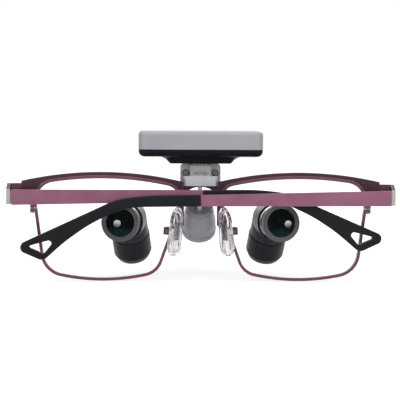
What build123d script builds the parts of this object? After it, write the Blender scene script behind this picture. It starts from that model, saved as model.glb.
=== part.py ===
from build123d import *
from math import cos, radians, sin, tan, sqrt
import os

# Surgical loupes on a metal spectacle frame, with a cordless lamp and a battery module over the bridge.
# +X is the wearer's right, +Y is the way the wearer looks, +Z is up.
# The origin is the boxing centre of the front, on the symmetry plane. The temples are folded.

# Front: two lenses in wire rims, a sheet brow bar over each, and the bridge between them
lens_width = 52.7
lens_height = 37.25
bridge_width = 15.8
lens_centre_drop = 0.4
wrap_radius = 300.0
# the corners of the lens outline, nasal top first and then round by the temple side
lens_corner_shares = ((-0.540, 0.383), (0.517, 0.432), (0.437, -0.405), (-0.337, -0.428))
lens_corner_radii = (6.0, 7.0, 8.5, 7.0)
lens_top_crown = 3.3
lens_bottom_crown = 2.9
lens_thickness = 1.8
lens_bevel_height = 0.3
lens_bevel_width = 0.8
lens_fit = 0.03

rim_wire = 1.1
rim_depth = 2.2
rim_edge_radius = 0.25

brow_depth = 1.8
brow_crest = 20.5
brow_crest_from_lens = 3.2
brow_arc_radius = 131.6
bridge_half_width = 6.7
bridge_arch_radius = 8.3
bridge_arch_top = 15.0

# End pieces: the strip that turns back from the brow bar to the hinge
front_side_reach = 10.6
strip_thickness = 1.4
strip_bend_radius = 2.6
strip_run = 6.4
strip_middle_z = 11.8
strip_rear_height = 5.6
strip_front_rise = 1.9
lug_inset = 5.2
weld_gap = 0.02

# Closing blocks on the temple side of each rim, with their screws
block_middle_z = 7.3
block_height = 2.8
block_width = 1.5
block_depth = 2.4
block_slit = 0.2
block_screw_radius = 0.5
block_screw_head_radius = 0.75
block_screw_head_height = 0.5
screw_slot_width = 0.25
screw_slot_depth = 0.22

# Hinges
pin_from_face = 2.9
pin_behind_strip = 1.0
knuckle_radius = 1.25
knuckle_gap = 0.06
hinge_height = 4.2
leaf_thickness = 0.7
leaf_length = 2.8
temple_leaf_length = 4.0
leaf_web_thickness = 0.8
hinge_screw_radius = 0.55
hinge_screw_fit = 0.04
hinge_screw_head_radius = 1.05
hinge_screw_head_height = 0.45

# Temples: a tapering strip with a tongue inside the moulded tip
temple_reach = 68.8
temple_overhang = 0.8
temple_root_height = 5.55
temple_neck_height = 4.15
temple_lean_degrees = 1.5
temple_play_degrees = 0.66
temple_droop_degrees = 0.08
tongue_length = 24.0
tongue_height = 2.4
tongue_thickness = 0.8
tongue_fit = 0.03

tip_length = 65.2
tip_drop = 20.5
tip_thickness = 2.6
tip_edge_radius = 0.45
# the corners of the tip's outline along its top to the toe, and back from the heel along its underside
tip_corner_shares = ((0.307, 0.098), (0.468, 0.036), (1.049, -0.790), (0.878, -1.034),
                     (0.752, -0.683), (0.621, -0.400), (0.483, -0.188), (0.376, -0.100))
tip_corner_radii = (80.0, 25.0, 2.1, 2.8, 60.0, 50.0, 30.0, 30.0)
loop_corner_shares = ((0.968, -0.772), (0.801, -0.630), (0.872, -0.905))
loop_corner_radii = (0.55, 1.1, 0.8)

# Nose pads on their stamped arms
pad_length = 18.4
pad_width = 9.0
pad_thickness = 2.6
pad_edge_radius = 0.9
pad_centre = (9.5, -6.9, -1.3)
pad_turn_degrees = 30.0
pad_splay_degrees = 4.0
pad_core_length = 6.4
pad_core_width = 3.2
pad_core_thickness = 0.7
pad_core_fit = 0.04
pad_stub_length = 1.3
pad_stub_width = 1.2
pad_stub_height = 1.9
pad_stub_out = 1.5
cup_wall = 0.5
cup_fit = 0.08
cup_floor_gap = 0.3
cup_height = 2.8
pad_screw_radius = 0.4
pad_screw_fit = 0.05
pad_screw_head_radius = 0.75
pad_screw_head_height = 0.4
arm_plate_thickness = 0.8
arm_plate_width = 1.7
arm_solder_gap = 0.05
arm_column_x = 7.0
arm_column_top = 8.6
arm_column_bottom = 1.4
arm_foot_inset = 1.6
arm_foot_rise = 0.9
arm_end_radius = 0.8

# Telescopes: an eyepiece through the lens, a prism elbow and an objective barrel that looks down
eyepiece_centre = (29.9, -6.1, 1.9)
convergence_degrees = 11.3
declination_degrees = 55.0
scope_radius = 7.1
neck_radius = 6.4
neck_start = 1.5
neck_end = 8.0
collar_end = 10.4
tube_end = 11.3
groove_depth = 0.35
tube_bore_radius = 5.2
eyepiece_window_radius = 5.45
eyepiece_face_depth = 0.7
eyepiece_thread_radius = 5.9
eyepiece_lens_radius = 5.8
eyepiece_lens_thickness = 1.6
eyepiece_lens_crown = 0.7
elbow_reach = 15.2
elbow_to_seam = 6.2
housing_radius = 6.95
housing_wall = 1.25
prism_width = 7.6
prism_reach = 3.8
barrel_radius = 7.2
barrel_length = 10.2
barrel_taper_length = 2.1
barrel_mouth_radius = 6.2
barrel_bore_radius = 5.4
barrel_seat_radius = 5.8
objective_radius = 5.75
objective_thickness = 1.8
objective_crown = 0.8
objective_from_mouth = 1.3
retaining_ring_width = 0.9
retaining_ring_bore = 5.1
seam_width = 0.25
seam_depth = 0.45
lens_bond = 0.1
optic_fit = 0.05
set_screw_radius = 0.45
set_screw_from_seam = 1.3
set_screw_turn_degrees = 35.0
set_screw_length = 1.1

# Mount on the bridge
plate_half_width = 7.5
plate_bottom = 15.2
plate_top = 23.6
plate_thickness = 1.8
plate_from_bridge = 0.1
plate_corner_radius = 1.3
plate_tongue_half_width = 2.6
plate_tongue_height = 1.9
mount_screw_x = 5.6
mount_screw_z = 20.2
mount_screw_radius = 0.8
mount_screw_head_radius = 1.25
mount_screw_head_height = 0.7
mount_screw_fit = 0.05
mount_socket_radius = 0.55
mount_socket_depth = 0.4
clamp_half_width = 6.25
clamp_bottom = 15.4
clamp_top = 19.1
clamp_thickness = 1.9
clamp_shelf_height = 1.7
clamp_bevel_width = 1.5
clamp_bevel_depth = 0.7
block_half_width = 3.9
block_top = 23.45
block_rear = 2.1
block_bevel = 0.7
block_slot_half_width = 2.4
block_slot_height = 1.1
block_slot_rise = 0.3
block_slot_recess = 0.8
contact_pin_radius = 0.35
contact_pin_pitch = 1.4
contact_pin_sunk = 0.8
contact_pin_y = -0.1
contact_pin_count = 4

# Lamp pod, hung on a tilting arm in front of the bridge
lamp_radius = 6.4
lamp_length = 14.6
lamp_tilt_degrees = 45.0
lamp_rear_centre = (0, 10.6, 7.4)
lamp_wall = 1.1
lamp_cap_length = 2.0
lamp_cap_rear_radius = 4.9
lamp_shoulder_radius = 5.4
lamp_flare_length = 6.5
lamp_bezel_length = 2.4
lamp_bezel_step = 0.2
lamp_window_radius = 4.9
lamp_lens_thickness = 2.2
lamp_lens_crown = 1.2
lamp_board_thickness = 1.2
lamp_led_side = 2.4
lamp_led_height = 0.8
lamp_slug_length = 2.6
lamp_fit = 0.04
pivot_depth = 1.2
pivot_low = 2.2
pivot_radius = 1.1
pivot_pin_radius = 0.55
pivot_pin_fit = 0.04
pivot_pin_half_length = 4.3
arm_half_width = 0.8
slot_gap = 0.08
slot_above = 2.6
slot_below = 1.5
carrier_thickness = 1.4
carrier_half_width = 7.3
carrier_bottom = 15.4
carrier_top = 22.4
arm_width = 2.2

# Battery module
module_width = 46.2
module_depth = 32.0
module_rear = -5.5
module_corner_radius = 3.0
module_top = 35.5
module_seam = 29.0
module_floor = 26.3
cover_top_radius = 1.1
cover_wall = 1.2
tray_wall = 1.3
tray_edge_radius = 2.1
shell_seam = 0.03
foot_half_width = 11.4
foot_half_depth = 11.7
foot_bottom = 23.7
foot_flare = 4.6
foot_depth_flare = 2.0
foot_steps = 4
foot_corner_radius = 2.0
foot_slot_fit = 0.12
cell_width = 36.0
cell_depth = 22.0
cell_height = 4.6
cell_corner_radius = 1.2
board_width = 40.0
board_depth = 26.0
board_thickness = 1.0
board_lift = 0.1
port_width = 9.0
port_height = 3.2
port_depth = 6.5
port_fit = 0.1
magnet_radius = 2.5
magnet_height = 1.2
magnet_x = 6.6

overrun = 1.0
front_span = 90.0


def wrap_y(x):
    """The Y of the front's middle surface at a given X."""
    return sqrt(wrap_radius**2 - x**2) - wrap_radius


def front_slab(outline, rear, fore):
    """A flat outline in the XZ plane, cut from a plate of the front's curve that lies from rear to fore."""
    tall = Cylinder(wrap_radius + fore, front_span) - Cylinder(wrap_radius + rear, front_span + overrun)
    plate = Pos(0, -wrap_radius, 0) * tall
    return extrude(outline, amount=front_span / 2, both=True) & plate


def box_between(low, high):
    """A box given by two opposite corners."""
    size = [b - a for a, b in zip(low, high)]
    middle = [(a + b) / 2 for a, b in zip(low, high)]
    return Pos(*middle) * Box(*size)


def turned(*points):
    """A solid of revolution about Z from the half profile through (radius, height) points."""
    profile = make_face(Polyline(*[(r, 0, z) for r, z in points], close=True))
    return revolve(profile, Axis.Z)


def other_side(shape):
    """The mirror image of a piece, for the wearer's left."""
    return mirror(shape, Plane.YZ)


def single(shape):
    """The one solid of a result."""
    return shape.solids()[0]


def save(shape, node):
    export_step(shape, "parts/" + node + ".step")


def save_pair(shape, node):
    save(shape, node + "_right")
    save(other_side(shape), node + "_left")


def save_group(shapes, node):
    group = Compound(children=shapes)
    save(group, node)


# Lenses and rims

lens_middle_x = bridge_width / 2 + lens_width / 2
front_half = bridge_width / 2 + lens_width + front_side_reach


def lens_outline(grow):
    """The lens outline in the XZ plane, grown outwards by the given amount. Its top and bottom are arcs."""
    corners = [(lens_middle_x + a * lens_width, b * lens_height - lens_centre_drop)
               for a, b in lens_corner_shares]
    top_nasal, top_temple, low_temple, low_nasal = corners
    middle_top = ((top_nasal[0] + top_temple[0]) / 2, (top_nasal[1] + top_temple[1]) / 2 + lens_top_crown)
    middle_low = ((low_nasal[0] + low_temple[0]) / 2, (low_nasal[1] + low_temple[1]) / 2 - lens_bottom_crown)
    with BuildSketch(Plane.XZ) as sketch:
        with BuildLine():
            ThreePointArc(top_nasal, middle_top, top_temple)
            Line(top_temple, low_temple)
            ThreePointArc(low_temple, middle_low, low_nasal)
            Line(low_nasal, top_nasal)
        make_face()
        for corner, radius in zip(corners, lens_corner_radii):
            fillet(sketch.vertices().sort_by_distance(corner)[0], radius)
        if grow:
            offset(amount=grow, kind=Kind.ARC)
    return sketch.sketch


def scope_line():
    """The place of the eyepiece: its Z runs forwards along the right telescope's first axis."""
    forward = (-sin(radians(convergence_degrees)), cos(radians(convergence_degrees)), 0)
    return Plane(origin=eyepiece_centre, x_dir=(forward[1], -forward[0], 0), z_dir=forward)


def rim():
    """The wire rim of the right lens: a grooved band, slit at its closing block, with the block's halves."""
    band = front_slab(lens_outline(rim_wire) - lens_outline(0), -rim_depth / 2, rim_depth / 2)
    groove = front_slab(lens_outline(lens_bevel_height + lens_fit) - lens_outline(-lens_bevel_height),
                        -lens_bevel_width / 2 - lens_fit, lens_bevel_width / 2 + lens_fit)
    band -= groove
    low = block_middle_z - block_height / 2
    high = block_middle_z + block_height / 2
    side_x = rim_side_x(block_middle_z)
    y = wrap_y(side_x)
    blocks = box_between((side_x - rim_wire / 2, y - block_depth / 2, low),
                         (side_x + block_width, y + block_depth / 2, high))
    blocks = fillet(blocks.edges().filter_by(Axis.Z).group_by(Axis.X)[-1], block_width / 3)
    blocks -= extrude(lens_outline(rim_wire - rim_edge_radius), amount=front_span / 2, both=True)
    slit = box_between((side_x - rim_wire * 3, y - block_depth, block_middle_z - block_slit / 2),
                       (side_x + block_width * 2, y + block_depth, block_middle_z + block_slit / 2))
    hole = Pos(*block_screw_place()) * Cylinder(block_screw_radius + lens_fit, block_height * 2)
    return single(band + blocks - slit - hole)


def rim_side_x(z):
    """The outer X of the rim on its temple side at a given height."""
    (ax, az), (bx, bz) = [(lens_middle_x + a * lens_width, b * lens_height - lens_centre_drop)
                          for a, b in lens_corner_shares[1:3]]
    return bx + (ax - bx) * (z - bz) / (az - bz) + rim_wire


def block_screw_place():
    side_x = rim_side_x(block_middle_z)
    return side_x + block_width / 2, wrap_y(side_x), block_middle_z


def closing_screw():
    """The screw that draws the two halves of a closing block together, headed from below."""
    shank = Cylinder(block_screw_radius, block_height)
    head_z = -block_height / 2 - block_screw_head_height / 2
    head = Pos(0, 0, head_z) * Cylinder(block_screw_head_radius, block_screw_head_height)
    slot = Pos(0, 0, head_z - block_screw_head_height / 2) * Box(block_screw_head_radius * 2 + overrun,
                                                                 screw_slot_width, screw_slot_depth * 2)
    return Pos(*block_screw_place()) * single(shank + head - slot)


def carrier_lens():
    """The plain lens, bevelled at its edge and bored for the telescope that is bonded in it."""
    body = front_slab(lens_outline(-lens_fit), -lens_thickness / 2, lens_thickness / 2)
    bevel = front_slab(lens_outline(lens_bevel_height), -lens_bevel_width / 2, lens_bevel_width / 2)
    bore = scope_line() * Pos(0, 0, (neck_start + neck_end) / 2) * Cylinder(neck_radius + lens_bond, front_span)
    return single(body + bevel - bore)


def brow_bar():
    """The sheet bar on top of the right rim, from the bridge to the lug."""
    crest_x = lens_middle_x + brow_crest_from_lens
    lug_x = front_half - lug_inset
    ends = [(x, brow_crest - brow_arc_radius + sqrt(brow_arc_radius**2 - (x - crest_x)**2))
            for x in (bridge_half_width, lug_x)]
    lug_bottom = strip_middle_z - strip_rear_height / 2
    with BuildSketch(Plane.XZ) as sketch:
        with BuildLine():
            ThreePointArc(ends[0], (crest_x, brow_crest), ends[1])
            Polyline(ends[1], (lug_x, lug_bottom), (lens_middle_x, lug_bottom),
                     (lens_middle_x, 0), (bridge_half_width, arch_z(bridge_half_width)), ends[0])
        make_face()
        add(lens_outline(rim_wire + weld_gap), mode=Mode.SUBTRACT)
    return single(front_slab(sketch.sketch, -brow_depth / 2, brow_depth / 2))


def arch_z(x):
    """The height of the underside of the bridge at a given X."""
    return bridge_arch_top - bridge_arch_radius + sqrt(bridge_arch_radius**2 - x**2)


def bridge():
    """The arched plate between the two brow bars, welded to both."""
    crest_x = lens_middle_x + brow_crest_from_lens
    half = bridge_half_width - weld_gap
    shoulder = brow_crest - brow_arc_radius + sqrt(brow_arc_radius**2 - (bridge_half_width - crest_x)**2)
    saddle = shoulder - brow_depth / 6
    with BuildSketch(Plane.XZ) as sketch:
        with BuildLine():
            ThreePointArc((-half, arch_z(half)), (0, bridge_arch_top), (half, arch_z(half)))
            Line((half, arch_z(half)), (half, shoulder))
            ThreePointArc((half, shoulder), (0, saddle), (-half, shoulder))
            Line((-half, shoulder), (-half, arch_z(half)))
        make_face()
        for side in (lens_outline(rim_wire + weld_gap), other_side(lens_outline(rim_wire + weld_gap))):
            add(side, mode=Mode.SUBTRACT)
    return single(front_slab(sketch.sketch, -brow_depth / 2, brow_depth / 2))


def strip_corner_y():
    """The Y of the strip's outer corner in plan: the lug slopes back to it as the front's curve does."""
    lug_x = front_half - lug_inset
    return wrap_y(lug_x) + brow_depth / 2 - lug_inset * lug_x / wrap_radius


strip_rear_y = strip_corner_y() - strip_run


def end_piece():
    """The bent strip from the lug back to the hinge. Its height tapers to the temple's."""
    lug_x = front_half - lug_inset + weld_gap
    corner_y = strip_corner_y()
    face_y = corner_y + (front_half - lug_x) * lug_x / wrap_radius
    inner_x = front_half - strip_thickness
    with BuildSketch() as plan:
        with BuildLine():
            Polyline((lug_x, face_y), (front_half, corner_y), (front_half, strip_rear_y),
                     (inner_x, strip_rear_y), (inner_x, corner_y - strip_thickness),
                     (lug_x, face_y - strip_thickness), close=True)
        make_face()
        outer = plan.vertices().sort_by_distance((front_half, corner_y))[0]
        fillet(outer, strip_bend_radius)
        inner = plan.vertices().sort_by_distance((inner_x, corner_y - strip_thickness))[0]
        fillet(inner, strip_bend_radius - strip_thickness)
    tall = extrude(plan.sketch, amount=front_span / 2, both=True)
    low = strip_middle_z - strip_rear_height / 2
    high = strip_middle_z + strip_rear_height / 2
    with BuildSketch(Plane.YZ) as side:
        with BuildLine():
            Polyline((strip_rear_y - overrun, low), (0, low), (0, high + strip_front_rise),
                     (corner_y - strip_thickness, high + strip_front_rise), (strip_rear_y, high),
                     (strip_rear_y - overrun, high), close=True)
        make_face()
    return single(tall & extrude(side.sketch, amount=front_span))


# Hinges

pin_x = front_half - pin_from_face
pin_y = strip_rear_y - pin_behind_strip


def pin_place(side):
    return side * pin_x, pin_y, strip_middle_z


def knuckle_bands():
    """Heights of the three knuckles about the hinge's middle: two on the front leaf, one on the temple's."""
    third = hinge_height / 3
    return ((-third * 1.5, -third / 2 - knuckle_gap / 2), (-third / 2 + knuckle_gap / 2, third / 2 - knuckle_gap / 2),
            (third / 2 + knuckle_gap / 2, third * 1.5))


def knuckle(band, forward, bore):
    """One knuckle about the pin, with the web that joins it to its leaf. It is in the pin's own frame."""
    low, high = band
    ring = Cylinder(knuckle_radius, high - low)
    reach = knuckle_radius + leaf_web_thickness
    plate_x = pin_from_face - strip_thickness
    web = box_between((plate_x - leaf_web_thickness - knuckle_radius / 4, 0, -(high - low) / 2),
                      (plate_x - knuckle_radius / 6, reach, (high - low) / 2))
    if not forward:
        web = mirror(web, Plane.XZ)
    solid = ring + web - Cylinder(bore, hinge_height)
    return Pos(0, 0, (low + high) / 2) * solid


def hinge_leaf(forward, bands, bore):
    """A leaf in the pin's own frame, with the temple open: its plate lies on the strip's inner face."""
    plate_x = pin_from_face - strip_thickness
    near = knuckle_radius + leaf_web_thickness / 2
    length = leaf_length if forward else temple_leaf_length
    plate = box_between((plate_x - leaf_thickness, near, -hinge_height / 2),
                        (plate_x, near + length, hinge_height / 2))
    if not forward:
        plate = mirror(plate, Plane.XZ)
    for band in bands:
        plate += knuckle(band, forward, bore)
    return single(plate)


def front_leaf():
    low, middle, high = knuckle_bands()
    leaf = hinge_leaf(True, (low, high), hinge_screw_radius + hinge_screw_fit / 2)
    return Pos(*pin_place(1)) * leaf


def hinge_screw():
    """The hinge screw, slotted, dropped in from above."""
    shank = Cylinder(hinge_screw_radius, hinge_height)
    head_z = hinge_height / 2 + hinge_screw_head_height / 2
    head = Pos(0, 0, head_z) * Cylinder(hinge_screw_head_radius, hinge_screw_head_height)
    slot = Pos(0, 0, head_z + hinge_screw_head_height / 2) * Box(hinge_screw_head_radius * 2 + overrun,
                                                                 screw_slot_width, screw_slot_depth * 2)
    return Pos(*pin_place(1)) * single(shank + head - slot)


# Temples. They are drawn folded, in the pin's frame: X runs from the pin along the temple, towards the
# wearer's other side, and Y is forward.

def temple_strip():
    """The tapering metal strip, with the tongue that runs on inside the tip."""
    rear = -pin_from_face
    with BuildSketch(Plane.XZ) as sketch:
        with BuildLine():
            Polyline((-temple_overhang, -temple_root_height / 2), (temple_reach, -temple_neck_height / 2),
                     (temple_reach, temple_neck_height / 2), (-temple_overhang, temple_root_height / 2),
                     close=True)
        make_face()
    strip = Pos(0, rear + strip_thickness, 0) * extrude(sketch.sketch, amount=strip_thickness)
    middle = rear + strip_thickness / 2
    tongue = box_between((temple_reach - overrun, middle - tongue_thickness / 2, -tongue_height / 2),
                         (temple_reach + tongue_length, middle + tongue_thickness / 2, tongue_height / 2))
    return single(strip + tongue)


def tip_outline():
    """The tip's side view: straight from the temple, then dropping to the toe, with every corner rounded."""
    start = temple_reach + weld_gap
    corners = [(start + a * tip_length, b * tip_drop) for a, b in tip_corner_shares]
    with BuildSketch(Plane.XZ) as sketch:
        with BuildLine():
            Polyline((start, temple_neck_height / 2), *corners, (start, -temple_neck_height / 2), close=True)
        make_face()
        for corner, radius in zip(corners, tip_corner_radii):
            fillet(sketch.vertices().sort_by_distance(corner)[0], radius)
    return sketch.sketch


def loop_outline():
    """The triangular strap loop near the end of the tip, with rounded corners."""
    corners = [(temple_reach + a * tip_length, b * tip_drop) for a, b in loop_corner_shares]
    with BuildSketch(Plane.XZ) as sketch:
        with BuildLine():
            Polyline(*corners, close=True)
        make_face()
        for corner, radius in zip(corners, loop_corner_radii):
            fillet(sketch.vertices().sort_by_distance(corner)[0], radius)
    return sketch.sketch


def temple_tip():
    """The moulded tip: a flat sleeve over the temple's tongue that drops behind the ear."""
    middle = -pin_from_face + strip_thickness / 2
    front = middle + tip_thickness / 2
    sleeve = single(extrude(tip_outline(), amount=tip_thickness))
    faces = sleeve.faces().sort_by(Axis.Y)
    rounded = faces[0].edges() + faces[-1].edges()
    sleeve = Pos(0, front, 0) * fillet(rounded, tip_edge_radius)
    loop = Pos(0, front + overrun, 0) * extrude(loop_outline(), amount=tip_thickness + overrun * 2)
    reach = temple_reach + tongue_length + tongue_fit
    pocket = box_between((temple_reach - overrun, middle - tongue_thickness / 2 - tongue_fit,
                          -tongue_height / 2 - tongue_fit),
                         (reach, middle + tongue_thickness / 2 + tongue_fit, tongue_height / 2 + tongue_fit))
    return single(sleeve - loop - pocket)


def temple_leaf():
    """The temple's hinge leaf, turned with the temple from open to folded."""
    low, middle, high = knuckle_bands()
    leaf = hinge_leaf(False, (middle,), hinge_screw_radius + hinge_screw_fit)
    # open, the leaf runs back along -Y beside +X; folded, it runs along the temple with its face forward
    return mirror(Rot(0, 0, -90) * leaf, Plane.YZ)


def fold(shape, side):
    """Sets a folded temple piece on its hinge. The left one lies under the right one, nearer the lenses."""
    lean = temple_lean_degrees * -side
    droop = temple_droop_degrees + temple_play_degrees * side
    turned_piece = Rot(0, 0, lean) * Rot(0, droop, 0) * shape
    if side > 0:
        turned_piece = mirror(turned_piece, Plane.YZ)
    return Pos(*pin_place(side)) * turned_piece


# Nose pads

def pad_frame():
    """The right pad's own frame: X along its width to the rear, Y down its length, Z from nose to rim."""
    turn = radians(pad_turn_degrees)
    splay = radians(pad_splay_degrees)
    outward = Vector(cos(turn), sin(turn), 0)
    along = Vector(sin(turn), -cos(turn), 0)
    up = Vector(0, 0, 1) * cos(splay) - outward * sin(splay)
    return Plane(origin=pad_centre, x_dir=along, z_dir=up.cross(along))


def pad_pivot_z():
    return pad_thickness / 2 + pad_stub_out


def nose_pad():
    """The soft pad: a flat oval moulding with a pocket for its core."""
    with BuildSketch() as sketch:
        SlotOverall(pad_length, pad_width, rotation=90)
    oval = extrude(sketch.sketch, amount=pad_thickness / 2, both=True)
    faces = oval.faces().sort_by(Axis.Z)
    oval = fillet(faces[0].edges() + faces[-1].edges(), pad_edge_radius)
    pocket = box_between((-pad_core_width / 2 - pad_core_fit, -pad_core_length / 2 - pad_core_fit,
                          -pad_core_thickness / 2 - pad_core_fit),
                         (pad_core_width / 2 + pad_core_fit, pad_core_length / 2 + pad_core_fit,
                          pad_core_thickness / 2 + pad_core_fit))
    throat = box_between((-pad_stub_width / 2 - pad_core_fit, -pad_stub_height / 2 - pad_core_fit, 0),
                         (pad_stub_width / 2 + pad_core_fit, pad_stub_height / 2 + pad_core_fit,
                          pad_thickness))
    return pad_frame() * single(oval - pocket - throat)


def pad_core():
    """The metal plate inside the pad, with the bored stub that the arm's cup holds."""
    plate = Box(pad_core_width, pad_core_length, pad_core_thickness)
    top = pad_pivot_z() + pad_stub_length / 2
    stub = box_between((-pad_stub_width / 2, -pad_stub_height / 2, 0),
                       (pad_stub_width / 2, pad_stub_height / 2, top))
    bore = Pos(0, 0, pad_pivot_z()) * Rot(0, 90, 0) * Cylinder(pad_screw_radius + pad_screw_fit, pad_width)
    return pad_frame() * single(plate + stub - bore)


def pad_screw():
    shank_length = pad_stub_width + (cup_wall + cup_fit) * 2
    shank = Cylinder(pad_screw_radius, shank_length)
    head_z = shank_length / 2 + pad_screw_head_height / 2
    head = Pos(0, 0, head_z) * Cylinder(pad_screw_head_radius, pad_screw_head_height)
    slot = Pos(0, 0, head_z + pad_screw_head_height / 2) * Box(pad_screw_head_radius * 2 + overrun,
                                                               screw_slot_width, screw_slot_depth * 2)
    screw = single(shank + head - slot)
    return pad_frame() * (Pos(0, 0, pad_pivot_z()) * Rot(0, 90, 0) * screw)


def pad_arm():
    """The stamped arm: a flat column behind the rim, a foot across to the pad, and the cup for its stub."""
    pivot = pad_frame().from_local_coords(Vector(0, 0, pad_pivot_z()))
    half = arm_plate_width / 2
    root_x = bridge_width / 2 + rim_wire
    foot_z = pivot.Z + arm_foot_rise
    foot_x = pivot.X + half - arm_foot_inset
    rear_face = wrap_y(foot_x) - rim_depth / 2 - arm_solder_gap
    with BuildSketch(Plane.XZ) as sketch:
        with BuildLine():
            Polyline((arm_column_x - half, arm_column_top - half), (root_x, arm_column_top + half),
                     (root_x + half, arm_column_top), (arm_column_x + half, arm_column_top - half * 2),
                     (arm_column_x + half, arm_column_bottom + half), (foot_x, foot_z + half),
                     (foot_x, foot_z - half), (arm_column_x - half, arm_column_bottom - half), close=True)
        make_face()
        for end in (half, -half):
            fillet(sketch.vertices().sort_by_distance((foot_x, foot_z + end))[0], arm_end_radius)
    plate = Pos(0, rear_face, 0) * extrude(sketch.sketch, amount=arm_plate_thickness)
    inner = pad_stub_width / 2 + cup_fit
    outer = inner + cup_wall
    floor_z = pad_pivot_z() + pad_stub_length / 2 + cup_floor_gap
    cup = box_between((-outer, -cup_height / 2, pad_pivot_z() - pad_stub_length / 2),
                      (outer, cup_height / 2, floor_z + cup_wall))
    pocket = box_between((-inner, -cup_height, 0), (inner, cup_height, floor_z))
    bore = Pos(0, 0, pad_pivot_z()) * Rot(0, 90, 0) * Cylinder(pad_screw_radius + pad_screw_fit, outer * 2 + overrun)
    rod_start = pad_frame().from_local_coords(Vector(0, 0, floor_z + cup_wall / 2))
    rod_end = Vector(foot_x - half, rear_face - arm_plate_thickness / 2, foot_z)
    rod_line = rod_end - rod_start
    rod = extrude(Plane(origin=rod_start, z_dir=rod_line) * Circle(half * 0.75), amount=rod_line.length)
    return single(plate + pad_frame() * cup + rod - pad_frame() * (pocket + bore))


# Telescopes

def elbow_line():
    """The place of the elbow: its Z runs along the right telescope's second axis, down and forwards."""
    first = scope_line()
    origin = first.from_local_coords(Vector(0, 0, elbow_reach))
    down = radians(declination_degrees)
    direction = first.z_dir * cos(down) - Vector(0, 0, 1) * sin(down)
    return Plane(origin=origin, x_dir=first.x_dir, z_dir=direction)


def eyepiece_ring():
    """The eyepiece's end ring, with a conical face round the eye lens."""
    ring = turned((eyepiece_window_radius, 0), (scope_radius - groove_depth / 2, 0), (scope_radius, groove_depth / 2),
                  (scope_radius, neck_start), (eyepiece_thread_radius, neck_start),
                  (eyepiece_thread_radius, eyepiece_face_depth), (eyepiece_window_radius, eyepiece_face_depth))
    return scope_line() * single(ring)


def lens_disc(radius, thickness, crown):
    """A plano-convex lens on Z, its flat side up and its crown down."""
    ball = (radius**2 + crown**2) / (2 * crown)
    disc = Pos(0, 0, thickness / 2) * Cylinder(radius, thickness)
    return single(disc & (Pos(0, 0, ball) * Sphere(ball)))


def eyepiece_lens():
    start = eyepiece_face_depth + optic_fit - eyepiece_lens_crown / 4
    disc = Pos(0, 0, start) * lens_disc(eyepiece_lens_radius, eyepiece_lens_thickness, eyepiece_lens_crown)
    clear = turned((eyepiece_window_radius - optic_fit, start - overrun),
                   (scope_radius, start - overrun), (scope_radius, eyepiece_face_depth + optic_fit),
                   (eyepiece_window_radius - optic_fit, eyepiece_face_depth + optic_fit))
    return scope_line() * single(disc - clear)


def ocular_tube():
    """The tube that passes through the lens: a neck, a collar and a groove before the elbow."""
    seat = eyepiece_face_depth + eyepiece_lens_thickness + optic_fit
    tube = turned((tube_bore_radius, seat), (eyepiece_lens_radius, seat), (eyepiece_lens_radius, neck_start + optic_fit),
                  (neck_radius, neck_start + optic_fit), (neck_radius, neck_end), (scope_radius, neck_end),
                  (scope_radius, collar_end), (scope_radius - groove_depth, collar_end),
                  (scope_radius - groove_depth, tube_end), (tube_bore_radius, tube_end))
    return scope_line() * single(tube)


def half_space(plane, forward):
    """A large block on one side of a plane."""
    block = Box(front_span, front_span, front_span)
    shift = front_span / 2 if forward else -front_span / 2
    return plane * (Pos(0, 0, shift) * block)


def mitre_plane():
    first = scope_line()
    second = elbow_line()
    return Plane(origin=second.origin, x_dir=first.x_dir, z_dir=first.z_dir + second.z_dir)


def elbow_pipe(radius, start, end):
    """Two mitred rods: one along the first axis from start, one along the second axis to end."""
    first = scope_line() * Pos(0, 0, (start + elbow_reach + scope_radius * 2) / 2) * Cylinder(
        radius, elbow_reach + scope_radius * 2 - start)
    second = elbow_line() * Pos(0, 0, (end - scope_radius * 2) / 2) * Cylinder(radius, end + scope_radius * 2)
    return (first & half_space(mitre_plane(), False)) + (second & half_space(mitre_plane(), True))


def prism_housing():
    """The elbow that holds the prism. Its outer corner is cut flat where the prism's mirror face lies."""
    start = tube_end + weld_gap
    outer = elbow_pipe(housing_radius, start, elbow_to_seam)
    bore = elbow_pipe(housing_radius - housing_wall, start - overrun, elbow_to_seam + overrun)
    lean = Plane(origin=mitre_plane().origin, x_dir=mitre_plane().x_dir,
                 z_dir=mitre_plane().x_dir.cross(mitre_plane().z_dir))
    side = -1 if lean.z_dir.Z > 0 else 1
    flat = Plane(origin=lean.origin + lean.z_dir * (housing_radius * -side), x_dir=lean.x_dir,
                 z_dir=lean.z_dir * -side)
    outer -= half_space(flat, True)
    inner_flat = Plane(origin=flat.origin - flat.z_dir * housing_wall, x_dir=flat.x_dir, z_dir=flat.z_dir)
    bore -= half_space(inner_flat, True)
    return single(outer - bore)


def prism():
    """The glass block that turns the view down, held in the elbow."""
    block = Box(prism_width, prism_width, front_span)
    first = scope_line() * (Pos(0, 0, elbow_reach - prism_reach + front_span / 2) * block)
    second = elbow_line() * (Pos(0, 0, prism_reach - front_span / 2) * block)
    first = first & half_space(mitre_plane(), False)
    second = second & half_space(mitre_plane(), True)
    return single(first + second)


def objective_barrel(side):
    """The barrel below the elbow, with the seam at its top and a cone at its mouth."""
    start = elbow_to_seam + weld_gap
    end = elbow_to_seam + barrel_length
    cone = end - barrel_taper_length
    seat = objective_flat() - optic_fit
    barrel = turned((barrel_bore_radius, start), (barrel_radius - seam_depth, start),
                    (barrel_radius - seam_depth, start + seam_width), (barrel_radius, start + seam_width),
                    (barrel_radius, cone), (barrel_mouth_radius, end), (barrel_seat_radius, end),
                    (barrel_seat_radius, seat), (barrel_bore_radius, seat))
    return elbow_line() * single(single(barrel) - set_screw_shape(side, optic_fit))


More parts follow.
